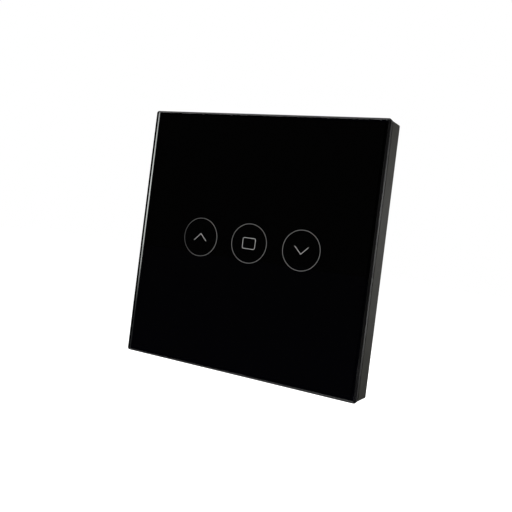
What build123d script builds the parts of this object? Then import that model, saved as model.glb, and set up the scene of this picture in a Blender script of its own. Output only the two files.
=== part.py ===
from build123d import *
import os
from math import cos, dist, pi, sin, sqrt

# Smart shutter switch for a square wall box, in millimetres.
# The glass faces -Y, the wall is the plane y = 0 and +Z is up.
# The origin is the centre of the face that rests on the wall.

# Front panel
panel_size = 86.0
panel_depth = 10.6              # glass face to the rear edge of the frame
rim_to_wall = 0.3
glass_thickness = 2.5
glass_corner_radius = 0.8
glass_front_chamfer = 0.7
glass_rear_chamfer = 0.3
tape_thickness = 0.3
tape_inset = 1.35
frame_inset = 0.05              # the frame's rear edge, inside the glass's outline
frame_wall = 1.95
frame_draft = 1.2               # degrees, so the frame widens towards the wall
frame_corner_radius = 0.6
frame_edge_fillet = 0.3
shadow_line_depth = 0.6         # of the step behind the glass, along Y
shadow_line_inset = 0.65
web_thickness = 1.5
web_rib_height = 1.6
web_rib_offset = 14.0
rib_thickness = 1.2
pry_notch_width = 12.0
pry_notch_height = 1.2

# Snap tongues on the frame and the grooves that guide them
tongue_offset = 22.0
tongue_width = 9.0
tongue_thickness = 1.1
tongue_flex_gap = 0.65
tongue_to_rim = 0.25
tongue_end_to_wall = 0.9
bead_radius = 0.4
bead_to_wall = 2.6
groove_depth = 0.6
groove_floor_to_wall = 0.5
ridge_radius = 0.3
ridge_inset = 1.1
groove_clearance = 0.15
panel_seat_gap = 0.1

# Touch keys
key_pitch = 19.0
key_ring_radius = 6.5
key_count = 3
collar_wall = 1.8
collar_end_gap = 0.9
diffuser_thickness = 1.4
diffuser_margin = 4.6
diffuser_height = 20.0
diffuser_clearance = 0.1
diffuser_corner_radius = 2.0
spring_radius = 3.0             # to the centre of the wire
spring_wire = 0.6
spring_half_turns = 7
spring_bend = 0.9
spring_lead = 0.3               # straight wire between the board and the bend
spring_hole_radius = 4.2
spring_tip_gap = 0.1

# Mounting plate
plate_thickness = 2.4
plate_corner_radius = 2.5
plate_rim_thickness = 1.5
ledge_thickness = 1.8
ledge_width = 2.0
plate_rib_height = 2.0
side_rib_offset = 10.0
end_rib_offset = 12.0
mount_spacing = 60.3
mount_slot_width = 4.2
mount_slot_length = 7.0
pocket_clearance = 0.2
tab_radius = 4.0

# Rear box
box_size = 50.0
box_depth = 24.0
box_wall = 1.6
box_corner_radius = 3.0
box_seat_depth = 0.6            # the box stands this deep in the rear of the plate
box_seat_clearance = 0.1
boss_radius = 2.4
boss_inset = 2.6                # boss axis to the inner faces of the box
support_rib_depth = 1.4
support_rib_width = 3.0
vent_count = 5
vent_width = 1.4
vent_length = 11.0
vent_pitch = 3.0

# Assembly screws
screw_head_radius = 2.2
screw_head_height = 1.5
screw_shank_radius = 1.2
screw_length = 8.0
screw_hole_clearance = 0.2
thread_clearance = 0.05
drive_slot_width = 0.7
drive_slot_depth = 0.7

# Circuit boards and what stands on them
board_overlap = 1.0             # touch board beyond the rear box on each side
touch_board_thickness = 1.2
power_board_thickness = 1.6
board_spacing = 5.4
board_clearance = 0.3
component_gap = 0.9
chip_inset = 10.1               # both chips, from the side edge of the power board
touch_ic_size = (9.9, 1.5, 3.9)
touch_ic_to_header = 9.0
radio_board_size = (16.0, 0.8, 24.0)
radio_board_shift = -7.0
radio_board_to_header = 1.75
radio_shield_size = (13.6, 2.2, 15.0)
radio_shield_inset = 0.9
led_size = (1.6, 0.8, 0.9)
header_pin_count = 6
header_pitch = 2.54
header_pin_width = 0.64
header_strip_height = 1.0
header_width = 2.5
header_gap = 0.3
header_inset = 8.1              # from the upper edge of the power board
header_pin_tail = 0.3
header_pin_engagement = 3.0
pin_clearance = 0.05
rectifier_size = (4.7, 1.5, 3.9)
rectifier_to_header = 19.0
relay_size = (17.8, 12.3, 10.1)
relay_foot = 0.5
tall_row_share = 0.6            # of the depth that the two rows above the relays have
transformer_width = 14.0
transformer_height = 12.0
transformer_bobbin_flange = 1.2
bulk_capacitor_radius = 4.0
bulk_capacitor_height = 13.0
output_capacitor_height = 11.0
film_capacitor_width = 5.0
film_capacitor_height = 11.0
varistor_radius = 4.5
varistor_thickness = 3.8
fuse_radius = 4.2
fuse_height = 7.6
choke_height = 9.0
choke_flange = 1.4

# Terminal block with rising cage clamps
pole_count = 4
pole_pitch = 7.62
partition = 1.0
entry_wall = 2.4
entry_chamfer = 0.5
block_back_wall = 1.2
shoulder_thickness = 1.2
clamp_screw_head_radius = 2.1
clamp_screw_head_height = 1.8
clamp_screw_radius = 1.5
clamp_screw_recess = 0.5
clamp_screw_pitch = 0.5
running_clearance = 0.08
cage_length = 8.0
cage_side_wall = 0.75
cage_head_wall = 1.2
cage_foot_wall = 0.9
cage_clearance = 0.12
cage_travel = 2.2
cage_stop_gap = 0.2
serration_count = 3
serration_pitch = 1.6
serration_depth = 0.25
wire_space = 4.4
bar_thickness = 1.0
bar_width = 4.1
bar_clearance = 0.2
bar_tail_width = 1.4
entry_clearance = 0.1

# Planes along Y, from the glass to the rear of the box
y_frame_rear = -rim_to_wall
y_glass_front = y_frame_rear - panel_depth
y_glass_rear = y_glass_front + glass_thickness
y_web_front = y_glass_rear + tape_thickness
y_web_rear = y_web_front + web_thickness
y_step = y_web_front + shadow_line_depth
y_rim_front = y_web_rear + panel_seat_gap
y_plate_front = -plate_thickness
y_touch_board_rear = -ledge_thickness
y_touch_board_front = y_touch_board_rear - touch_board_thickness
y_power_board_front = y_touch_board_rear + board_spacing
y_power_board_rear = y_power_board_front + power_board_thickness
y_box_front = -box_seat_depth
y_box_rear = box_depth
y_box_floor = box_depth - box_wall

# Planes along Y in the terminal block, cages at their open end
y_head_rear = y_box_rear - clamp_screw_recess
y_head_front = y_head_rear - clamp_screw_head_height
y_shoulder = y_head_front - running_clearance
y_cell_rear = y_shoulder - shoulder_thickness
y_cage_rear = y_cell_rear - cage_stop_gap - cage_travel
y_cage_inner_rear = y_cage_rear - cage_head_wall
y_bar_rear = y_cage_inner_rear - cage_stop_gap
y_bar_front = y_bar_rear - bar_thickness
y_cage_inner_front = y_bar_front - wire_space
y_cage_front = y_cage_inner_front - cage_foot_wall

# Sizes that follow from the ones above
frame_size = panel_size - 2 * frame_inset
frame_inner = frame_size - 2 * frame_wall
tongue_outer = frame_inner / 2 - tongue_flex_gap
tongue_inner = tongue_outer - tongue_thickness
plate_size = 2 * (tongue_inner - tongue_to_rim)
plate_inner = plate_size - 2 * plate_rim_thickness
touch_board_size = box_size + 2 * board_overlap
pocket_size = touch_board_size + 2 * pocket_clearance
plate_window = touch_board_size - 2 * ledge_width - 2 * board_overlap
box_inner = box_size - 2 * box_wall
boss_offset = box_inner / 2 - boss_inset
power_board_size = box_inner - 2 * board_clearance
cell_width = pole_pitch - partition
block_width = pole_count * pole_pitch + partition
cage_width = cell_width - 2 * cage_clearance
cage_inner_width = cage_width - 2 * cage_side_wall
z_block_front = -box_size / 2
z_cell_front = z_block_front + entry_wall
z_cage_front = z_cell_front + cage_clearance
z_cage_back = z_cage_front + cage_length
z_cell_back = z_cage_back + cage_clearance
z_bar_back = z_cell_back + bar_clearance + bar_thickness
z_block_back = z_bar_back + bar_clearance + block_back_wall
z_clamp_screw = z_cage_front + cage_length / 2
two_rows_depth = box_inner / 2 - z_block_back - relay_size[2] - 4 * component_gap
tall_row_depth = tall_row_share * two_rows_depth
small_row_depth = two_rows_depth - tall_row_depth
choke_radius = small_row_depth / 2
choke_core_radius = 0.6 * choke_radius
output_capacitor_radius = 0.75 * choke_radius
header_offset = power_board_size / 2 - header_inset
chip_offset = power_board_size / 2 - chip_inset
z_radio_top = header_offset - header_width / 2 - radio_board_to_header
z_radio_board = z_radio_top - radio_board_size[2] / 2
spring_start = spring_lead + spring_bend
spring_top = y_touch_board_front - y_glass_rear - spring_tip_gap - spring_wire / 2
spring_pitch = 2 * (spring_top - spring_start) / spring_half_turns
pin_hole_radius = header_pin_width / sqrt(2) + pin_clearance
y_pin_rear = y_touch_board_rear + header_strip_height + header_gap + header_pin_engagement
pin_places = [
    (index - (header_pin_count - 1) / 2) * header_pitch for index in range(header_pin_count)
]
key_places = [(index - (key_count - 1) / 2) * key_pitch for index in range(key_count)]
pole_places = [(index - (pole_count - 1) / 2) * pole_pitch for index in range(pole_count)]


def front_plane(x, y, z):
    """A plane parallel to the wall whose normal points at the viewer."""
    return Plane(origin=(x, y, z), x_dir=(1, 0, 0), z_dir=(0, -1, 0))


def slab(outline, y_front, y_rear):
    """Extrude an outline, drawn as seen from the front, between two planes."""
    return extrude(front_plane(0, y_rear, 0) * outline, amount=y_rear - y_front)


def brick(x_limits, y_limits, z_limits):
    """A box between its low and high limits along each axis."""
    limits = (x_limits, y_limits, z_limits)
    centre = [(low + high) / 2 for low, high in limits]
    lengths = [high - low for low, high in limits]
    return Pos(*centre) * Box(*lengths)


def about(centre, width):
    """The low and high limits of a width about its centre."""
    return (centre - width / 2, centre + width / 2)


def rod(x, z, radius, y_front, y_rear):
    """A round bar along Y."""
    return slab(Pos(x, z) * Circle(radius), y_front, y_rear)


def corners(offset):
    """The four places at the same distance from both middle lines."""
    return [(x, z) for x in (-offset, offset) for z in (-offset, offset)]


def glass_panel():
    outline = RectangleRounded(panel_size, panel_size, glass_corner_radius)
    glass = slab(outline, y_glass_front, y_glass_rear)
    glass = chamfer(glass.edges().group_by(Axis.Y)[0], glass_front_chamfer)
    return chamfer(glass.edges().group_by(Axis.Y)[-1], glass_rear_chamfer)


def diffuser_length():
    return (key_count - 1) * key_pitch + 2 * (key_ring_radius + diffuser_margin)


def window_outline(clearance):
    """The opening behind the keys, or the diffuser that fills it with a clearance."""
    length = diffuser_length() + 2 * clearance
    height = diffuser_height + 2 * clearance
    return RectangleRounded(length, height, diffuser_corner_radius + clearance)


def adhesive_tape():
    outer = frame_size - 2 * tape_inset
    return slab(Rectangle(outer, outer) - window_outline(diffuser_clearance), y_glass_rear, y_web_front)


def snap_tongue(x, side):
    """A tongue with a half-round bead that faces the middle of the switch."""
    z_limits = sorted((side * tongue_inner, side * tongue_outer))
    tongue = brick(about(x, tongue_width), (y_web_rear, -tongue_end_to_wall), z_limits)
    bead = Rot(0, 90, 0) * Cylinder(bead_radius, tongue_width)
    return tongue + Pos(x, -bead_to_wall, side * tongue_inner) * bead


def panel_frame():
    outline = RectangleRounded(frame_size, frame_size, frame_corner_radius)
    outline = front_plane(0, y_frame_rear, 0) * outline
    frame = extrude(outline, amount=y_frame_rear - y_step, taper=frame_draft)
    frame = fillet(frame.edges().group_by(Axis.Y)[-1], frame_edge_fillet)
    step_size = frame_size - 2 * shadow_line_inset
    frame += slab(Rectangle(step_size, step_size), y_web_front, y_step)
    frame -= slab(Rectangle(frame_inner, frame_inner), y_web_rear, 0)
    frame -= slab(window_outline(diffuser_clearance), y_glass_front, 0)
    for z in (-web_rib_offset, web_rib_offset):
        rib_limits = (y_web_rear, y_web_rear + web_rib_height)
        frame += brick(about(0, plate_inner - 2 * tongue_flex_gap), rib_limits, about(z, rib_thickness))
    for x in (-tongue_offset, tongue_offset):
        for side in (-1, 1):
            frame += snap_tongue(x, side)
    notch_limits = (y_frame_rear - pry_notch_height, 0)
    return frame - brick(about(0, pry_notch_width), notch_limits, (-frame_size / 2, -frame_inner / 2))


def light_diffuser():
    """A clear plate with one collar for each key, which carries light to the ring."""
    plate = slab(window_outline(0), y_glass_rear, y_glass_rear + diffuser_thickness)
    y_collar_end = y_touch_board_front - led_size[1] - collar_end_gap
    outer = key_ring_radius + collar_wall / 2
    inner = key_ring_radius - collar_wall / 2
    for x in key_places:
        ring = Pos(x, 0) * (Circle(outer) - Circle(inner))
        plate += slab(ring, y_glass_rear + diffuser_thickness, y_collar_end)
        plate -= rod(x, 0, spring_hole_radius, y_glass_rear, y_collar_end)
    return plate


def plate_ribs():
    """Straight ribs from the board pocket to the rim on all four sides."""
    reach = (pocket_size / 2 + pocket_clearance, plate_inner / 2)
    height = (y_plate_front - plate_rib_height, y_plate_front)
    ribs = []
    for side in (-1, 1):
        along = sorted(side * place for place in reach)
        for offset in (-1, 1):
            ribs.append(brick(along, height, about(offset * side_rib_offset, rib_thickness)))
            ribs.append(brick(about(offset * end_rib_offset, rib_thickness), height, along))
    return ribs


def latch_groove(x, side):
    """The groove in the rim's outer face, open towards the panel, with its snap ridge."""
    width = about(x, tongue_width + 2 * groove_clearance)
    floor = plate_size / 2 - groove_depth
    z_limits = sorted((side * floor, side * plate_size / 2))
    groove = brick(width, (y_rim_front, -groove_floor_to_wall), z_limits)
    ridge = Pos(x, y_rim_front + ridge_inset, side * floor) * Rot(0, 90, 0)
    return groove, ridge * Cylinder(ridge_radius, tongue_width + 2 * groove_clearance)


def mounting_plate():
    outline = RectangleRounded(plate_size, plate_size, plate_corner_radius)
    inner_radius = plate_corner_radius - plate_rim_thickness
    plate = slab(outline, y_rim_front, 0)
    plate -= slab(RectangleRounded(plate_inner, plate_inner, inner_radius), y_rim_front, y_plate_front)
    plate += plate_ribs()
    plate -= slab(Rectangle(pocket_size, pocket_size), y_plate_front, y_touch_board_rear)
    window = Rectangle(plate_window, plate_window)
    window -= [Pos(x, z) * Circle(tab_radius) for x, z in corners(boss_offset)]
    plate -= slab(window, y_touch_board_rear, 0)
    seat = box_size + 2 * box_seat_clearance
    plate -= slab(RectangleRounded(seat, seat, box_corner_radius + box_seat_clearance), y_box_front, 0)
    for x, z in corners(boss_offset):
        plate -= rod(x, z, screw_shank_radius + screw_hole_clearance, y_plate_front, 0)
    for side in (-1, 1):
        slot = Pos(side * mount_spacing / 2, 0) * SlotOverall(mount_slot_length, mount_slot_width)
        plate -= slab(slot, y_plate_front, 0)
    for x in (-tongue_offset, tongue_offset):
        for side in (-1, 1):
            groove, ridge = latch_groove(x, side)
            plate = plate - groove + ridge
    return plate


def corner_boss(x, z):
    """A screw boss joined to both walls of its corner."""
    wall = box_inner / 2
    x_limits = sorted((x, wall if x > 0 else -wall))
    z_limits = sorted((z, wall if z > 0 else -wall))
    boss = rod(x, z, boss_radius, y_box_front, y_box_floor)
    return boss + brick(x_limits, (y_box_front, y_box_floor), z_limits)


def vent_slots():
    """Rows of slots in both side walls and in the upper half of the rear wall."""
    reach = (vent_count - 1) / 2 * vent_pitch
    offsets = [index * vent_pitch - reach for index in range(vent_count)]
    y_middle = (y_power_board_rear + y_box_floor) / 2
    z_middle = box_inner / 4
    slots = []
    for offset in offsets:
        side = about(z_middle + offset, vent_width)
        slots.append(brick((-box_size, box_size), about(y_middle, vent_length), side))
        rear = brick(about(offset, vent_width), (y_box_floor, y_box_rear), about(z_middle, vent_length))
        slots.append(rear)
    return slots


def terminal_bay():
    """The corner of the box that the terminal block fills, with a clearance round it."""
    width = about(0, block_width + 2 * entry_clearance)
    depth = (y_cage_front - entry_clearance, y_box_rear)
    return brick(width, depth, (z_block_front, z_block_back + entry_clearance))


def rear_box():
    """An open box with corner bosses, board supports, vents and the terminal bay."""
    outline = RectangleRounded(box_size, box_size, box_corner_radius)
    cavity = RectangleRounded(box_inner, box_inner, box_corner_radius - box_wall)
    cavity = slab(cavity, y_box_front, y_box_floor)
    box = slab(outline, y_box_front, y_box_rear)
    box = fillet(box.edges().group_by(Axis.Y)[-1], box_wall / 2) - cavity
    details = [corner_boss(x, z) for x, z in corners(boss_offset)]
    for side in (-1, 1):
        x_limits = sorted((side * (box_inner / 2 - support_rib_depth), side * box_inner / 2))
        details.append(brick(x_limits, (y_power_board_rear, y_box_floor), about(0, support_rib_width)))
    for detail in details:
        box += detail & cavity
    for x, z in corners(boss_offset):
        pilot = screw_shank_radius + thread_clearance
        box -= rod(x, z, pilot, y_box_front, y_touch_board_front + screw_length + pilot)
    return box - vent_slots() - terminal_bay()


def drive_slot(radius, y_face, width, depth, into):
    """The screwdriver slot across a head whose face lies at y_face."""
    return brick((-radius, radius), sorted((y_face, y_face + into * depth)), about(0, width))


def assembly_screws():
    """Four screws that hold the touch board and the plate to the rear box."""
    screws = []
    for x, z in corners(boss_offset):
        y_head = y_touch_board_front - screw_head_height
        head = rod(0, 0, screw_head_radius, y_head, y_touch_board_front)
        head = fillet(head.edges().group_by(Axis.Y)[0], screw_head_height / 3)
        head -= drive_slot(screw_head_radius, y_head, drive_slot_width, drive_slot_depth, 1)
        shank = rod(0, 0, screw_shank_radius, y_touch_board_front, y_touch_board_front + screw_length)
        screws.append(Pos(x, 0, z) * (head + shank))
    return Compound(children=screws)


def touch_board():
    outline = RectangleRounded(touch_board_size, touch_board_size, board_overlap)
    board = slab(outline, y_touch_board_front, y_touch_board_rear)
    for x, z in corners(boss_offset):
        board -= rod(x, z, screw_shank_radius + screw_hole_clearance, y_touch_board_front, 0)
    for x in key_places:
        leg = spring_wire / 2 + pin_clearance
        board -= rod(x + spring_radius, -spring_bend, leg, y_touch_board_front, 0)
    for x in pin_places:
        board -= rod(x, header_offset, pin_hole_radius, y_touch_board_front, 0)
    return board


def biarc(start, start_direction, end, end_direction):
    """Two tangent arcs that join two points along given directions."""
    chord = end - start
    bend = 2 * (start_direction.dot(end_direction) - 1)
    slope = -2 * chord.dot(start_direction + end_direction)
    reach = (-slope - sqrt(slope * slope - 4 * bend * chord.dot(chord))) / (2 * bend)
    middle = (start + end + (start_direction - end_direction) * reach) / 2
    first = TangentArc(start, middle, tangent=start_direction)
    return [first, TangentArc(middle, end, tangent=first % 1)]


def spring_path():
    """A lead through the board, a bend and an open coil that rises towards the glass."""
    board_rear = -touch_board_thickness - header_pin_tail
    leg_top = Vector(spring_radius, -spring_bend, spring_start - spring_bend)
    rise = spring_pitch / (2 * pi)
    direction = Vector(0, spring_radius, rise).normalized()
    point = Vector(spring_radius, 0, spring_start)
    edges = [Line(Vector(spring_radius, -spring_bend, board_rear), leg_top)]
    edges += biarc(leg_top, Vector(0, 0, 1), point, direction)
    for half_turn in range(1, spring_half_turns + 1):
        angle = half_turn * pi
        end = Vector(spring_radius * cos(angle), spring_radius * sin(angle), spring_start + rise * angle)
        tangent = Vector(-spring_radius * sin(angle), spring_radius * cos(angle), rise).normalized()
        edges += biarc(point, direction, end, tangent)
        point, direction = end, tangent
    edges.append(Line(point, point + direction * spring_wire))
    return Wire(edges)


def least_spring_gap(path):
    """The least space between two turns, measured on points along the wire."""
    steps = 160
    points = [tuple(path @ (step / steps)) for step in range(steps + 1)]
    half_turn = int(steps * pi * spring_radius / path.length)
    return min(
        dist(points[first], points[second]) - spring_wire
        for first in range(steps)
        for second in range(first + half_turn, steps + 1)
    )


def touch_spring(x):
    path = spring_path()
    wire = sweep(Plane(path @ 0, z_dir=path % 0) * Circle(spring_wire / 2), path=path)
    return front_plane(x, y_touch_board_front, 0).location * wire


def status_leds():
    """Two lamps under each ring, above and below the key."""
    y_limits = (y_touch_board_front - led_size[1], y_touch_board_front)
    lamps = []
    for x in key_places:
        for z in (-key_ring_radius, key_ring_radius):
            lamps.append(brick(about(x, led_size[0]), y_limits, about(z, led_size[2])))
    return Compound(children=lamps)


def behind_touch_board(size, x, z):
    """A flat component on the rear of the touch board."""
    y_limits = (y_touch_board_rear, y_touch_board_rear + size[1])
    return brick(about(x, size[0]), y_limits, about(z, size[2]))


def radio_shield():
    """A pressed can on the lower end of the radio board."""
    y_front = y_touch_board_rear + radio_board_size[1]
    z_low = z_radio_top - radio_board_size[2] + radio_shield_inset
    z_limits = (z_low, z_low + radio_shield_size[2])
    width = about(radio_board_shift, radio_shield_size[0])
    can = brick(width, (y_front, y_front + radio_shield_size[1]), z_limits)
    return fillet(can.edges().group_by(Axis.Y)[-1], radio_shield_size[1] / 6)


def header_bar(y_front, y_rear):
    """A row of pin holes in a plastic bar."""
    length = header_pin_count * header_pitch
    bar = brick(about(0, length), (y_front, y_rear), about(header_offset, header_width))
    hole = header_pin_width + 2 * pin_clearance
    for x in pin_places:
        bar -= brick(about(x, hole), (y_front, y_pin_rear + header_gap), about(header_offset, hole))
    return bar


def header_pins():
    """Square pins that join the two boards."""
    y_limits = (y_touch_board_front - header_pin_tail, y_pin_rear)
    z_limits = about(header_offset, header_pin_width)
    pins = [brick(about(x, header_pin_width), y_limits, z_limits) for x in pin_places]
    return Compound(children=pins)


def power_board():
    """A square board cut away at the bosses, with slots for the contact tails."""
    notch = power_board_size / 2 - boss_offset + boss_radius + board_clearance
    outline = Rectangle(power_board_size, power_board_size)
    outline -= [Pos(x, z) * Rectangle(2 * notch, 2 * notch) for x, z in corners(power_board_size / 2)]
    board = slab(outline, y_power_board_front, y_power_board_rear)
    for x in pole_places:
        z_limits = (z_bar_back - bar_thickness - pin_clearance, z_bar_back + pin_clearance)
        board -= brick(about(x, bar_tail_width + 2 * pin_clearance), (0, y_power_board_rear), z_limits)
    return board


def standing(size):
    """A block that stands on the rear of the power board."""
    y_limits = (y_power_board_rear, y_power_board_rear + size[1])
    return brick(about(0, size[0]), y_limits, about(0, size[2]))


def standing_rod(radius, height, base=0):
    return rod(0, 0, radius, y_power_board_rear + base, y_power_board_rear + base + height)


def relay():
    """A sealed relay case on a slightly narrower foot."""
    case = standing(relay_size)
    case = fillet(case.edges().group_by(Axis.Y)[-1], relay_foot)
    under = standing((relay_size[0], relay_foot, relay_size[2]))
    foot = standing((relay_size[0] - 2 * relay_foot, relay_foot, relay_size[2] - 2 * relay_foot))
    return case - under + foot


def power_transformer():
    """A ferrite ring round a winding between two bobbin flanges."""
    width, height, depth = transformer_width, transformer_height, tall_row_depth
    flange = transformer_bobbin_flange
    core = standing((width, height, depth / 2))
    wall = 2 * flange
    opening = brick(
        about(0, width - 2 * wall),
        (y_power_board_rear + wall, y_power_board_rear + height - wall),
        about(0, depth),
    )
    bobbin = standing((width - 2 * wall, flange, depth))
    cap = Pos(0, height - wall - flange, 0) * bobbin
    winding = standing((width - 2 * wall - flange, height - wall, depth - 2 * flange))
    winding = fillet(winding.edges().filter_by(Axis.Y), 2 * flange)
    return core - opening + bobbin + cap + winding


def electrolytic(radius, height):
    """A round can with the crimp groove near its foot."""
    groove = radius / 8
    can = standing_rod(radius, height) - standing_rod(radius, 2 * groove, base=3 * groove)
    can += standing_rod(radius - groove, 2 * groove, base=3 * groove)
    return fillet(can.edges().group_by(Axis.Y)[-1], groove)


def film_capacitor():
    case = standing((film_capacitor_width, film_capacitor_height, tall_row_depth))
    return fillet(case.edges().group_by(Axis.Y)[-1], film_capacitor_width / 6)


def varistor():
    """A coated disc that stands on its edge, flat where it meets the board."""
    disc = Cylinder(varistor_radius, varistor_thickness)
    disc = fillet(disc.edges().filter_by(GeomType.CIRCLE), varistor_thickness / 3)
    raised = Pos(0, y_power_board_rear + varistor_radius - varistor_thickness / 8, 0) * disc
    return raised & standing((2 * varistor_radius, 2 * varistor_radius, varistor_thickness))


def fuse():
    body = standing_rod(fuse_radius, fuse_height)
    return fillet(body.edges().group_by(Axis.Y)[-1], fuse_radius / 6)


def choke():
    """A ferrite bobbin with its winding between the two flanges."""
    drum = standing_rod(choke_radius, choke_flange)
    drum += standing_rod(choke_radius, choke_flange, base=choke_height - choke_flange)
    return drum + standing_rod(choke_core_radius, choke_height)


def lay_out(pieces, width, z_middle):
    """Place pieces side by side on the power board, with equal gaps across a width."""
    sizes = [piece.bounding_box().size.X for piece in pieces.values()]
    gap = (width - sum(sizes)) / (len(sizes) + 1)
    x = gap - width / 2
    placed = {}
    for (name, piece), size in zip(pieces.items(), sizes):
        placed[name] = Pos(x + size / 2, 0, z_middle) * piece
        x += size + gap
    return placed


def power_components():
    """Relays next to the terminals, then tall components, then small ones between the bosses."""
    relays = {"relay_up": relay(), "relay_down": relay()}
    tall = {
        "power_transformer": power_transformer(),
        "bulk_capacitor": electrolytic(bulk_capacitor_radius, bulk_capacitor_height),
        "film_capacitor": film_capacitor(),
        "fuse": fuse(),
    }
    small = {
        "output_capacitor": electrolytic(output_capacitor_radius, output_capacitor_height),
        "choke": choke(),
        "varistor": varistor(),
    }
    z_relays = z_block_back + component_gap + relay_size[2] / 2
    z_tall = z_relays + component_gap + (relay_size[2] + tall_row_depth) / 2
    z_small = z_tall + component_gap + (tall_row_depth + small_row_depth) / 2
    between_bosses = 2 * (boss_offset - boss_radius - board_clearance)
    placed = lay_out(relays, power_board_size, z_relays)
    placed |= lay_out(tall, power_board_size, z_tall)
    return placed | lay_out(small, between_bosses, z_small)


def bridge_rectifier():
    y_limits = (y_power_board_front - rectifier_size[1], y_power_board_front)
    z_middle = header_offset - rectifier_to_header
    return brick(about(chip_offset, rectifier_size[0]), y_limits, about(z_middle, rectifier_size[2]))


def entry_funnel(x):
    """A wire entry in the lower face, widened at its mouth."""
    width = cage_inner_width + 2 * entry_clearance
    height = wire_space + 2 * entry_clearance
    y_middle = (y_cage_inner_front + y_bar_front) / 2
    hole = brick(about(x, width), about(y_middle, height), (z_block_front, z_cell_front))
    mouth = Rectangle(width + 2 * entry_chamfer, height + 2 * entry_chamfer)
    return hole + extrude(Plane((x, y_middle, z_block_front)) * mouth, amount=entry_chamfer, taper=45)


def terminal_housing():
    """A moulded block with one open-bottomed cell for each pole."""
    y_limits = (y_power_board_rear, y_box_rear)
    block = brick(about(0, block_width), y_limits, (z_block_front, z_block_back))
    set_back = (z_block_front, z_block_front + box_wall + entry_clearance)
    block -= brick(about(0, block_width), (y_power_board_rear, y_cage_front), set_back)
    cell = (y_power_board_rear, y_cell_rear)
    for x in pole_places:
        block -= brick(about(x, cell_width), cell, (z_cell_front, z_cell_back))
        slot = about(x, bar_width + 2 * bar_clearance)
        slot_top = y_bar_rear + bar_clearance
        block -= brick(slot, (y_power_board_rear, slot_top), (z_cell_back, z_bar_back + bar_clearance))
        shank_hole = clamp_screw_radius + running_clearance
        block -= rod(x, z_clamp_screw, shank_hole, y_cell_rear, y_shoulder)
        head_bore = clamp_screw_head_radius + running_clearance
        block -= rod(x, z_clamp_screw, head_bore, y_shoulder, y_box_rear)
        block -= entry_funnel(x)
    return block


def clamp_cage(x):
    """A square ring round the contact bar, threaded at the head and serrated at the foot."""
    z_limits = (z_cage_front, z_cage_back)
    ring = brick(about(x, cage_width), (y_cage_front, y_cage_rear), z_limits)
    ring = fillet(ring.edges().filter_by(Axis.Z), cage_side_wall / 2)
    ring -= brick(about(x, cage_inner_width), (y_cage_inner_front, y_cage_inner_rear), z_limits)
    for index in range(serration_count):
        z = z_clamp_screw + (index - (serration_count - 1) / 2) * serration_pitch
        groove = (y_cage_inner_front - serration_depth, y_cage_inner_front)
        ring -= brick(about(x, cage_inner_width), groove, about(z, 2 * serration_depth))
    bore = clamp_screw_radius + thread_clearance
    return ring - rod(x, z_clamp_screw, bore, y_cage_inner_rear, y_cage_rear)


def terminal_screw(x):
    """A captive screw whose foot bears on the contact bar."""
    head = rod(0, 0, clamp_screw_head_radius, y_head_front, y_head_rear)
    head = fillet(head.edges().group_by(Axis.Y)[-1], clamp_screw_recess / 2)
    slot = drive_slot(clamp_screw_head_radius, y_head_rear, drive_slot_width, drive_slot_depth, -1)
    shank = rod(0, 0, clamp_screw_radius, y_bar_rear + running_clearance, y_head_front)
    shank = chamfer(shank.edges().group_by(Axis.Y)[0], clamp_screw_radius / 5)
    return Pos(x, 0, z_clamp_screw) * (head - slot + shank)


def contact_bars():
    """Bent strips that carry the wires inside the cages and end in solder tails."""
    bars = []
    for x in pole_places:
        width = about(x, bar_width)
        z_leg = (z_bar_back - bar_thickness, z_bar_back)
        bar = brick(width, (y_bar_front, y_bar_rear), (z_cage_front, z_bar_back))
        bar += brick(width, (y_power_board_rear, y_bar_rear), z_leg)
        bend = bar.edges().filter_by(Axis.X).sort_by(lambda edge: edge.center().Y + edge.center().Z)[-1]
        bar = fillet(bend, bar_thickness)
        tail = (y_power_board_front - header_pin_tail, y_power_board_rear)
        bars.append(bar + brick(about(x, bar_tail_width), tail, z_leg))
    return Compound(children=bars)


y_strip_rear = y_touch_board_rear + header_strip_height
z_touch_ic = header_offset - touch_ic_to_header
nodes = {
    "glass_panel": glass_panel(),
    "adhesive_tape": adhesive_tape(),
    "panel_frame": panel_frame(),
    "light_diffuser": light_diffuser(),
    "mounting_plate": mounting_plate(),
    "rear_box": rear_box(),
    "assembly_screws": assembly_screws(),
    "touch_board": touch_board(),
    "status_leds": status_leds(),
    "touch_ic": behind_touch_board(touch_ic_size, chip_offset, z_touch_ic),
    "radio_board": behind_touch_board(radio_board_size, radio_board_shift, z_radio_board),
    "radio_shield": radio_shield(),
    "header_strip": header_bar(y_touch_board_rear, y_strip_rear),
    "header_socket": header_bar(y_strip_rear + header_gap, y_power_board_front),
    "header_pins": header_pins(),
    "power_board": power_board(),
    "bridge_rectifier": bridge_rectifier(),
    "terminal_housing": terminal_housing(),
    "contact_bars": contact_bars(),
}
nodes |= power_components()
for key, x in zip(("up", "stop", "down"), key_places):
    nodes[f"touch_spring_{key}"] = touch_spring(x)
for pole, x in enumerate(pole_places, start=1):
    nodes[f"clamp_cage_{pole}"] = clamp_cage(x)
    nodes[f"terminal_screw_{pole}"] = terminal_screw(x)

print("least gap between turns of a touch spring, mm:", round(least_spring_gap(spring_path()), 2))
os.makedirs("parts", exist_ok=True)
for name, shape in nodes.items():
    export_step(shape, f"parts/{name}.step")
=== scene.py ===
# Smart shutter switch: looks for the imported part, in metres.
# The glass faces -Y and the origin is the centre of the face that rests on the wall.

from math import cos, pi, radians, sin

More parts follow.
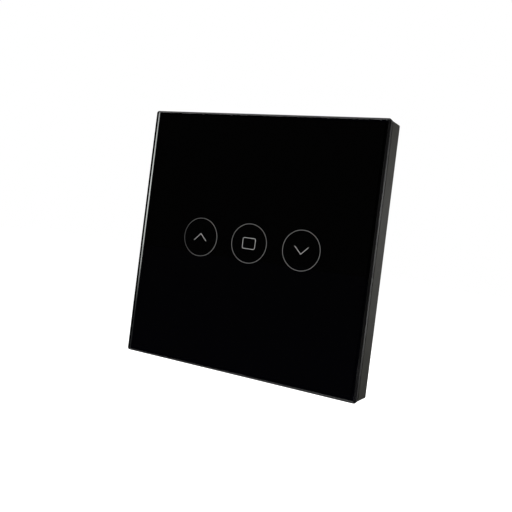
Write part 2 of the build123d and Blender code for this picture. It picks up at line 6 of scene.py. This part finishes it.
import bmesh
import bpy
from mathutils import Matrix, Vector


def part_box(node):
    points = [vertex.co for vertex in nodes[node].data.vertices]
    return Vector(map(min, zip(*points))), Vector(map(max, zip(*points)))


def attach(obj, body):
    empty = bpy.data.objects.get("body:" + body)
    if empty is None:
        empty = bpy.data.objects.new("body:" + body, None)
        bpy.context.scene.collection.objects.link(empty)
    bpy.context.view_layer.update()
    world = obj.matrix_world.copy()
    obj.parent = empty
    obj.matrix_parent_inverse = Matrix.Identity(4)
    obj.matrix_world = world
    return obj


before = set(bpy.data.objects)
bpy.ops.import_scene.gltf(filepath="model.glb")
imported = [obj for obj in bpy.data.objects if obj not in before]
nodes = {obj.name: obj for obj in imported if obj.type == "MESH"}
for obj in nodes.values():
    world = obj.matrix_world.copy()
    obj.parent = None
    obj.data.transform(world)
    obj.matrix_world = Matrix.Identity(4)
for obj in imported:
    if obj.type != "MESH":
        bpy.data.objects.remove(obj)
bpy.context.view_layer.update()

MM = 0.001

# Print on and behind the glass
glass_low, glass_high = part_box("glass_panel")
clear_rim = 1.6 * MM              # of the front face
print_inset = 0.4 * MM            # of the print on the rear face
print_shift = 0.18 * MM           # of the print to the right, which widens its rim on the left
arris_height = 0.3 * MM           # of the blackened bevel round the rear face
face_band = 0.002 * MM            # a point this near to a face's plane is on that face

# Icons
icon_pitch = 18.7 * MM
icon_shift = 0.82 * MM            # of the middle icon, right of the middle of the glass
icon_height = 0.33 * MM           # of the icons' middle line, above the middle of the glass
ring_radius = 6.43 * MM
ring_width = 0.12 * MM
chevron_width = 4.72 * MM         # twice its height
oblong_size = (4.6 * MM, 3.55 * MM)
oblong_corner = 0.6 * MM
glyph_width = 0.12 * MM
ink_thickness = 0.015 * MM
circle_steps = 96
corner_steps = 6
mitre_limit = 0.3                 # a mitre is at most 1 / this times as long as the stroke is wide

# Stage
floor_half = 4.0                  # half the width of the floor
floor_drop = 0.2                  # of the floor below the middle of the switch

# Camera, as in the photograph
photo_width = 512                 # pixels
focal_length = 650.3              # pixels of the photograph
sensor_width = 36.0               # millimetres
camera_place = (0.10010, -0.19872, 0.0040)
camera_turn = (89.769, -7.188, 27.170)   # degrees about X, Y and Z
camera_shift = (-0.0039, -0.0392)  # of the view, in parts of its width


def grey(level):
    return (level, level, level)


def tint(colour, factor):
    return tuple(channel * factor for channel in colour)


class Tree:
    """A material's or world's node tree with short calls for its nodes."""

    ends = {
        "materials": ("Principled BSDF", "Material Output"),
        "worlds": ("Background", "World Output"),
    }

    def __init__(self, name, kind="materials"):
        self.owner = getattr(bpy.data, kind).new(name)
        self.owner.use_nodes = True
        self.tree = self.owner.node_tree
        shader, output = self.ends[kind]
        self.shader = self.tree.nodes[shader]
        self.output = self.tree.nodes[output]
        self.coordinates = self.node("ShaderNodeTexCoord")

    def node(self, kind, **values):
        made = self.tree.nodes.new(kind)
        for name, value in values.items():
            setattr(made, name, value)
        return made

    def link(self, source, target):
        self.tree.links.new(source, target)

    def set(self, **values):
        """Set the shader's own sockets, which are named with underscores for spaces."""
        for name, value in values.items():
            self.shader.inputs[name.replace("_", " ")].default_value = value

    def drive(self, **sources):
        """Link sources to the shader's own sockets, named as in set."""
        for name, source in sources.items():
            self.link(source, self.shader.inputs[name.replace("_", " ")])

    def stretched(self, scale):
        """Object coordinates, stretched along the axes."""
        mapping = self.node("ShaderNodeMapping")
        mapping.inputs["Scale"].default_value = scale
        self.link(self.coordinates.outputs["Object"], mapping.inputs["Vector"])
        return mapping.outputs["Vector"]

    def noise(self, size, detail=4.0, roughness=0.55, stretch=(1, 1, 1)):
        """Noise whose blotches are about size metres across."""
        made = self.node("ShaderNodeTexNoise")
        made.inputs["Scale"].default_value = 1 / size
        made.inputs["Detail"].default_value = detail
        made.inputs["Roughness"].default_value = roughness
        self.link(self.stretched(stretch), made.inputs["Vector"])
        return made.outputs["Fac"]

    def ramp(self, source, stops):
        """A colour ramp over (position, colour) stops."""
        made = self.node("ShaderNodeValToRGB")
        ramp = made.color_ramp
        while len(ramp.elements) < len(stops):
            ramp.elements.new(0.5)
        for element, (place, colour) in zip(ramp.elements, stops):
            element.position = place
            element.color = (*colour, 1.0)
        self.link(source, made.inputs["Fac"])
        return made.outputs["Color"]

    def split(self, vector):
        """A vector's X, Y and Z."""
        made = self.node("ShaderNodeSeparateXYZ")
        self.link(vector, made.inputs["Vector"])
        return made.outputs

    def place(self):
        """X, Y and Z of the shaded point, in object coordinates."""
        return self.split(self.coordinates.outputs["Object"])

    def distance(self, place):
        """Distance of the shaded point from a place, in object coordinates."""
        made = self.node("ShaderNodeVectorMath", operation="DISTANCE")
        self.link(self.coordinates.outputs["Object"], made.inputs[0])
        made.inputs[1].default_value = place
        return made.outputs["Value"]

    def remap(self, source, to=(0.0, 1.0), span=(0.0, 1.0), smooth=False):
        """The source, mapped from its span to another one and held at both ends."""
        made = self.node("ShaderNodeMapRange", interpolation_type="SMOOTHSTEP" if smooth else "LINEAR")
        for name, value in zip(("From Min", "From Max", "To Min", "To Max"), (*span, *to)):
            made.inputs[name].default_value = value
        self.link(source, made.inputs["Value"])
        return made.outputs["Result"]

    def math(self, operation, *sources):
        made = self.node("ShaderNodeMath", operation=operation)
        for slot, source in zip(made.inputs, sources):
            if isinstance(source, (int, float)):
                slot.default_value = source
            else:
                self.link(source, slot)
        return made.outputs["Value"]

    def mix(self, factor, first, second):
        """Colours or levels mixed: the first at factor 0, the second at factor 1."""
        made = self.node("ShaderNodeMix", data_type="RGBA")
        for slot, source in ((0, factor), (6, first), (7, second)):
            if isinstance(source, tuple):
                made.inputs[slot].default_value = (*source, 1.0)
            elif isinstance(source, (int, float)):
                made.inputs[slot].default_value = source
            else:
                self.link(source, made.inputs[slot])
        return made.outputs[2]

    def bump(self, height, strength, distance):
        made = self.node("ShaderNodeBump")
        made.inputs["Strength"].default_value = strength
        made.inputs["Distance"].default_value = distance
        self.link(height, made.inputs["Height"])
        self.drive(Normal=made.outputs["Normal"])


def moulded(name, colour, rough, grain=0.25 * MM, depth=0.01 * MM, spread=0.12, specular=0.5):
    """Moulded plastic: a fine eroded grain with faint blotches and uneven gloss."""
    t = Tree(name)
    blotch = t.noise(9 * MM)
    fine = t.noise(grain, detail=6.0, roughness=0.65)
    colours = t.ramp(blotch, [(0.3, tint(colour, 1 - spread)), (0.7, tint(colour, 1 + spread))])
    pits = t.remap(fine, to=(0.0, 0.7), span=(0.35, 0.65))
    gloss = t.remap(t.noise(3 * MM), to=(rough - 0.05, rough + 0.06))
    t.drive(Base_Color=t.mix(pits, colours, tint(colour, 1 - 2 * spread)), Roughness=gloss)
    t.set(Specular_IOR_Level=specular)
    t.bump(fine, 0.35, depth)
    return t.owner


def metal(name, colour, rough, stretch=(1, 1, 1), dull=0.25):
    """Plated or drawn metal: brushed along one axis, dulled in blotches."""
    t = Tree(name)
    brushed = t.noise(0.12 * MM, detail=5.0, stretch=stretch)
    blotch = t.noise(1.4 * MM)
    shade = t.ramp(blotch, [(0.35, tint(colour, 1 - dull)), (0.65, colour)])
    shade = t.mix(t.remap(brushed, to=(0.0, 0.3)), shade, tint(colour, 0.6))
    t.drive(Base_Color=shade, Roughness=t.remap(blotch, to=(rough + 0.12, rough - 0.04)))
    t.set(Metallic=1.0)
    t.bump(brushed, 0.25, 0.004 * MM)
    return t.owner


def board(name, colour, copper, pitch=1.7 * MM, width=0.14):
    """Solder mask over copper tracks, which show as slightly raised lighter lines."""
    t = Tree(name)
    cells = t.node("ShaderNodeTexVoronoi", feature="DISTANCE_TO_EDGE")
    cells.inputs["Scale"].default_value = 1 / pitch
    cells.inputs["Randomness"].default_value = 0.55
    t.link(t.stretched((1, 0.05, 1)), cells.inputs["Vector"])
    track = t.remap(cells.outputs["Distance"], to=(1.0, 0.0), span=(width * 0.5, width))
    weave = t.noise(0.3 * MM, detail=3.0)
    base = t.ramp(weave, [(0.3, tint(colour, 0.8)), (0.7, tint(colour, 1.2))])
    shade = t.mix(t.math("MULTIPLY", track, 0.55), base, copper)
    t.drive(Base_Color=shade, Roughness=t.remap(weave, to=(0.28, 0.42)))
    t.bump(track, 0.4, 0.03 * MM)
    return t.owner


def toughened_glass():
    """Glass with black print behind it and a black rear bevel, which leave a clear polished rim."""
    t = Tree("toughened_glass")
    place = t.place()
    across = t.math("ABSOLUTE", t.math("SUBTRACT", place["X"], print_shift))
    reach = t.math("MAXIMUM", t.math("ADD", across, print_shift), t.math("ABSOLUTE", place["Z"]))
    front = t.math("LESS_THAN", place["Y"], glass_low.y + face_band)
    rear = t.math("GREATER_THAN", place["Y"], glass_high.y - face_band)
    inner = t.math("LESS_THAN", reach, glass_high.x - clear_rim)
    backed = t.math("MULTIPLY", rear, t.math("LESS_THAN", reach, glass_high.x - print_inset))
    arris = t.math("COMPARE", place["Y"], glass_high.y - arris_height * 0.51, arris_height * 0.49)
    printed = t.math("MAXIMUM", t.math("MAXIMUM", inner, backed), arris)
    clear = t.mix(front, (0.9, 0.93, 0.91), (0.8, 0.84, 0.82))
    black = t.ramp(t.noise(0.4 * MM), [(0.3, grey(0.0005)), (0.7, grey(0.0007))])
    wipes = t.remap(t.noise(7 * MM, detail=3.0, stretch=(1, 1, 2.5)), to=(0.0, 0.02))
    polish = t.remap(t.noise(0.3 * MM, detail=3.0), to=(0.005, 0.03))
    gloss = t.mix(t.math("MAXIMUM", front, rear), polish, wipes)
    t.drive(Base_Color=t.mix(printed, clear, black), Roughness=gloss)
    t.drive(Transmission_Weight=t.math("SUBTRACT", 1.0, printed))
    t.set(IOR=1.52)
    return t.owner


def dress(material, *names):
    """Give CAD nodes a material through their objects' slots."""
    for name in names:
        for slot in nodes[name].material_slots:
            slot.material = material


def numbered(name):
    """The names of four nodes that are alike."""
    return [f"{name}_{number}" for number in (1, 2, 3, 4)]


# Front panel
dress(toughened_glass(), "glass_panel")
dress(moulded("frame_satin", (0.0245, 0.024, 0.0195), 0.36, spread=0.08, specular=0.25), "panel_frame")
dress(moulded("foam_tape", grey(0.02), 0.85, grain=0.12 * MM, depth=0.04 * MM), "adhesive_tape")
dress(moulded("milky_diffuser", (0.78, 0.78, 0.75), 0.4, spread=0.03), "light_diffuser")

# Plate, box and terminals
coarse = {"grain": 0.45 * MM, "depth": 0.03 * MM}
dress(moulded("plate_moulded", (0.06, 0.06, 0.061), 0.55, **coarse), "mounting_plate")
dress(moulded("box_moulded", (0.05, 0.051, 0.053), 0.5, **coarse), "rear_box")
terminal_green = moulded("terminal_moulded", (0.03, 0.1, 0.055), 0.42, grain=0.3 * MM, depth=0.02 * MM)
dress(terminal_green, "terminal_housing")

# Boards
dress(board("touch_mask", (0.012, 0.013, 0.014), (0.05, 0.045, 0.035)), "touch_board")
dress(board("power_mask", (0.02, 0.12, 0.04), (0.06, 0.22, 0.07)), "power_board")
dress(board("radio_mask", (0.02, 0.05, 0.15), (0.05, 0.1, 0.25), pitch=1.1 * MM), "radio_board")

# Metal
zinc = metal("zinc_screws", (0.62, 0.61, 0.58), 0.32)
dress(zinc, "assembly_screws", *numbered("terminal_screw"))
dress(metal("zinc_cages", (0.6, 0.57, 0.5), 0.38, stretch=(1, 0.1, 1)), *numbered("clamp_cage"))
sprung = metal("plated_wire", (0.72, 0.66, 0.5), 0.25, stretch=(1, 3, 1))
dress(sprung, "touch_spring_up", "touch_spring_stop", "touch_spring_down")
dress(metal("tinned_can", (0.68, 0.68, 0.67), 0.34, stretch=(0.1, 1, 1)), "radio_shield")
brass = metal("brass_strip", (0.72, 0.55, 0.26), 0.3, stretch=(1, 1, 0.1))
dress(brass, "contact_bars", "header_pins")

# Components
chip = moulded("chip_body", (0.02, 0.02, 0.021), 0.6, grain=0.08 * MM)
dress(chip, "touch_ic", "bridge_rectifier", "header_strip", "header_socket")
dress(moulded("lamp_body", (0.82, 0.8, 0.62), 0.25, spread=0.05), "status_leds")
dress(moulded("relay_body", (0.02, 0.07, 0.3), 0.35), "relay_up", "relay_down")
ferrite = moulded("ferrite", (0.05, 0.048, 0.045), 0.55, grain=0.15 * MM)
dress(ferrite, "power_transformer", "choke")
dress(moulded("sleeve", (0.02, 0.02, 0.03), 0.3, spread=0.05), "bulk_capacitor", "output_capacitor")
dress(moulded("film_case", (0.5, 0.42, 0.08), 0.35), "film_capacitor")
dress(moulded("fuse_case", (0.1, 0.04, 0.025), 0.3), "fuse")
dress(moulded("epoxy_coat", (0.03, 0.09, 0.3), 0.28, grain=0.5 * MM), "varistor")


def sheet_mesh(name, strip, closed, y_front, y_rear):
    """A flat strip of even thickness along (inner, outer) pairs of (x, z) points."""
    mesh = bmesh.new()
    rings = []
    for pair in strip:
        rings.append([mesh.verts.new((p[0], y, p[1])) for p in pair for y in (y_front, y_rear)])
    count = len(rings)
    for index in range(count if closed else count - 1):
        a, b = rings[index], rings[(index + 1) % count]
        for first, second in ((0, 2), (2, 3), (3, 1), (1, 0)):
            mesh.faces.new((a[first], a[second], b[second], b[first]))
    if not closed:
        for end in (rings[0], rings[-1]):
            mesh.faces.new((end[0], end[2], end[3], end[1]))
    bmesh.ops.recalc_face_normals(mesh, faces=mesh.faces)
    data = bpy.data.meshes.new(name)
    mesh.to_mesh(data)
    mesh.free()
    made = bpy.data.objects.new(name, data)
    bpy.context.scene.collection.objects.link(made)
    return made


def stroke(points, width, closed):
    """A mitred strip of a given width along a path, as (inner, outer) pairs."""
    pairs = []
    count = len(points)
    for index, point in enumerate(points):
        before = points[index - 1] if closed or index else point
        after = points[(index + 1) % count] if closed or index < count - 1 else point
        into = (Vector(point) - Vector(before)).normalized()
        out = (Vector(after) - Vector(point)).normalized()
        if into.length == 0:
            into = out
        if out.length == 0:
            out = into
        tangent = (into + out).normalized()
        half = width / 2 / max(mitre_limit, tangent.dot(into))
        side = Vector((-tangent.y, tangent.x)) * half
        pairs.append((Vector(point) - side, Vector(point) + side))
    return pairs


def arc(centre, radius, start, end, steps):
    """Points on an arc, from the start angle to the end angle."""
    angles = [start + (end - start) * step / steps for step in range(steps + 1)]
    return [(centre[0] + radius * cos(angle), centre[1] + radius * sin(angle)) for angle in angles]


def circle(centre, radius):
    return arc(centre, radius, 0, 2 * pi, circle_steps)[:-1]


def rounded_oblong(centre, width, height, radius):
    points = []
    for quarter, (sx, sz) in enumerate(((1, 1), (-1, 1), (-1, -1), (1, -1))):
        corner = (centre[0] + sx * (width / 2 - radius), centre[1] + sz * (height / 2 - radius))
        points += arc(corner, radius, quarter * pi / 2, (quarter + 1) * pi / 2, corner_steps)
    return points


def chevron(centre, width, rise):
    """A corner of two strokes; rise is upwards where positive."""
    x, z = centre
    return [(x - width / 2, z - rise / 2), (x, z + rise / 2), (x + width / 2, z - rise / 2)]


def ink(name, colour, glow, fade):
    """Light grey ink, a little uneven, with a painted glow for the light through it from behind, and
    painted dimmer towards the left.
    """
    t = Tree(name)
    grain = t.noise(0.15 * MM, detail=3.0)
    patch = t.noise(4 * MM)
    faint_end = icon_shift - icon_pitch - ring_radius
    full_end = icon_shift - ring_radius * 2
    shade = t.ramp(grain, [(0.3, tint(colour, 0.85)), (0.7, tint(colour, 1.08))])
    # Painted shade: the ink darkens towards the left, where the light through it from behind is
    # weaker.
    painted_dimming = t.remap(t.place()["X"], to=(fade, 0.0), span=(faint_end, full_end))
    shade = t.mix(painted_dimming, shade, grey(0.0))
    # Painted glow: the ink emits its own colour, standing in for light from behind the glass.
    t.drive(Base_Color=shade, Emission_Color=shade)
    t.drive(Emission_Strength=t.remap(patch, to=(glow * 0.9, glow * 1.1)))
    t.drive(Roughness=t.remap(grain, to=(0.5, 0.7)))
    return t.owner


def add_icon(name, points, width, closed, material):
    """Print a line on the glass, as a thin piece that rides with the front panel."""
    strip = stroke(points, width, closed)
    piece = sheet_mesh(name, strip, closed, glass_low.y - ink_thickness, glass_low.y)
    piece.data.materials.append(material)
    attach(piece, "front_panel")


def add_icons():
    """Three rings, with an up chevron, a rounded oblong and a down chevron in them."""
    # The glow is painted light, and the ring ink is painted dimmer towards the left.
    ring_ink = ink("ring_ink", grey(0.16), 0.55, 0.55)
    glyph_ink = ink("glyph_ink", grey(0.4), 0.6, 0.0)
    up, stop, down = [(icon_shift + step * icon_pitch, icon_height) for step in (-1, 0, 1)]
    for key, middle in (("up", up), ("stop", stop), ("down", down)):
        add_icon(f"ring_{key}", circle(middle, ring_radius), ring_width, True, ring_ink)
    rise = chevron_width / 2
    add_icon("icon_up", chevron(up, chevron_width, rise), glyph_width, False, glyph_ink)
    oblong = rounded_oblong(stop, *oblong_size, oblong_corner)
    add_icon("icon_stop", oblong, glyph_width, True, glyph_ink)
    add_icon("icon_down", chevron(down, chevron_width, -rise), glyph_width, False, glyph_ink)


def floor_material():
    """Pale, and lifted to plain white for the camera away from the object. Gloss and glass see a dim
    room instead, its light and shade painted into the floor's colour: dark near the object and lighter
    with distance."""
    t = Tree("pale_floor")
    pale = t.ramp(t.noise(0.05), [(0.3, grey(0.78)), (0.7, grey(0.82))])
    path = t.node("ShaderNodeLightPath").outputs
    place = t.place()
    away = t.distance((0, 0, -floor_drop))
    bearing = t.math("DIVIDE", place["X"], place["Y"])

    # Painted light and shade behind the object: the left, the right as the glass edge sees it, and as
    # the frame sees it
    left = t.remap(away, to=(0.006, 0.8), span=(1.1, 3.3), smooth=True)
    edge = t.remap(away, to=(0.17, 0.6), span=(0.6, 1.8), smooth=True)
    side = t.remap(away, to=(0.0, 0.57), span=(0.85, 1.75), smooth=True)
    right = t.mix(t.remap(bearing, span=(0.33, 0.42), smooth=True), edge, side)
    rear = t.mix(t.remap(place["X"], span=(-0.4, 0.0), smooth=True), left, right)

    # Painted shade in front of it, and a painted lighter patch close behind it
    front = t.mix(t.remap(place["X"], span=(0.4, 1.1), smooth=True), (0.006, 0.006, 0.02), grey(0.2))
    room = t.mix(t.remap(place["Y"], to=(1.0, 0.0), span=(-0.15, 0.1), smooth=True), rear, front)
    past_patch = t.remap(t.distance((0, 0.2, -floor_drop)), span=(0.15, 0.3), smooth=True)
    room = t.mix(past_patch, grey(0.35), room)

    unseen = t.math("MAXIMUM", path["Is Glossy Ray"], path["Is Transmission Ray"])
    t.drive(Base_Color=t.mix(unseen, pale, room))
    t.set(Roughness=0.9, Specular_IOR_Level=0.1)
    lift = t.remap(away, to=(0.05, 0.62), span=(0.1, 0.35), smooth=True)
    glow = t.node("ShaderNodeEmission")
    t.link(t.math("MULTIPLY", path["Is Camera Ray"], lift), glow.inputs["Strength"])
    both = t.node("ShaderNodeAddShader")
    t.link(t.shader.outputs["BSDF"], both.inputs[0])
    t.link(glow.outputs["Emission"], both.inputs[1])
    t.link(both.outputs["Shader"], t.output.inputs["Surface"])
    return t.owner


def add_floor():
    mesh = bmesh.new()
    bmesh.ops.create_grid(mesh, x_segments=8, y_segments=8, size=floor_half)
    bmesh.ops.translate(mesh, verts=mesh.verts, vec=(0, 0, -floor_drop))
    data = bpy.data.meshes.new("floor")
    mesh.to_mesh(data)
    mesh.free()
    data.materials.append(floor_material())
    floor = bpy.data.objects.new("floor", data)
    bpy.context.scene.collection.objects.link(floor)


def add_world():
    """White for the camera. Gloss and glass see a backdrop behind the object, brightest at eye
    level, a soft light overhead and a dim wall on the right."""
    t = Tree("studio", "worlds")
    bpy.context.scene.world = t.owner
    heading = t.split(t.coordinates.outputs["Generated"])

    # The backdrop: the left, the right as the glass edge sees it, and as the frame sees it
    left_height = t.math("ABSOLUTE", t.math("SUBTRACT", heading["Z"], 0.045))
    left = t.remap(left_height, to=(1.0, 0.6), span=(0.01, 0.12))
    height = t.math("ABSOLUTE", t.math("SUBTRACT", heading["Z"], 0.05))
    edge = t.remap(height, to=(0.42, 0.17), span=(0.0, 0.15), smooth=True)
    side = t.remap(height, to=(0.44, 0.0), span=(0.02, 0.15), smooth=True)
    right = t.mix(t.remap(heading["X"], span=(0.28, 0.36), smooth=True), edge, side)
    across = t.remap(heading["X"], span=(-0.05, 0.25), smooth=True)
    behind = t.remap(heading["Y"], span=(0.65, 0.88), smooth=True)
    backdrop = t.math("MULTIPLY", behind, t.mix(across, left, right))

    overhead = t.remap(heading["Z"], to=(0.0, 0.7), span=(0.5, 0.85), smooth=True)
    wall = t.remap(heading["X"], to=(0.006, 0.15), span=(0.4, 0.8), smooth=True)
    room = t.math("ADD", t.math("ADD", backdrop, overhead), wall)
    path = t.node("ShaderNodeLightPath").outputs
    seen = t.math("MAXIMUM", path["Is Glossy Ray"], path["Is Transmission Ray"])
    strength = t.mix(seen, grey(0.5), room)
    t.drive(Strength=t.mix(path["Is Camera Ray"], strength, grey(1.0)))
    t.set(Color=(1.0, 1.0, 1.0, 1.0))


def add_light(name, place, size, power):
    """A square soft lamp that points at the switch and isn't seen itself."""
    data = bpy.data.lights.new(name, "AREA")
    data.shape = "SQUARE"
    data.size = size
    data.energy = power
    made = bpy.data.objects.new(name, data)
    made.location = place
    made.rotation_euler = (-Vector(place)).to_track_quat("-Z", "Y").to_euler()
    made.visible_camera = False
    made.visible_glossy = False
    made.visible_transmission = False
    bpy.context.scene.collection.objects.link(made)


def add_camera():
    data = bpy.data.cameras.new("camera")
    data.sensor_width = sensor_width
    data.lens = focal_length / photo_width * sensor_width
    data.shift_x, data.shift_y = camera_shift
    data.clip_start = 0.005
    made = bpy.data.objects.new("camera", data)
    made.location = camera_place
    made.rotation_euler = [radians(angle) for angle in camera_turn]
    bpy.context.scene.collection.objects.link(made)
    bpy.context.scene.camera = made


add_icons()
add_floor()
add_world()
add_light("top_soft", (0.1, -0.2, 1.0), 0.9, 7)
add_light("side_soft", (0.9, -0.3, 0.25), 0.5, 4)
add_light("rear_soft", (-0.4, 0.9, 0.5), 0.6, 5)
add_camera()
bpy.context.scene.view_settings.view_transform = "Standard"
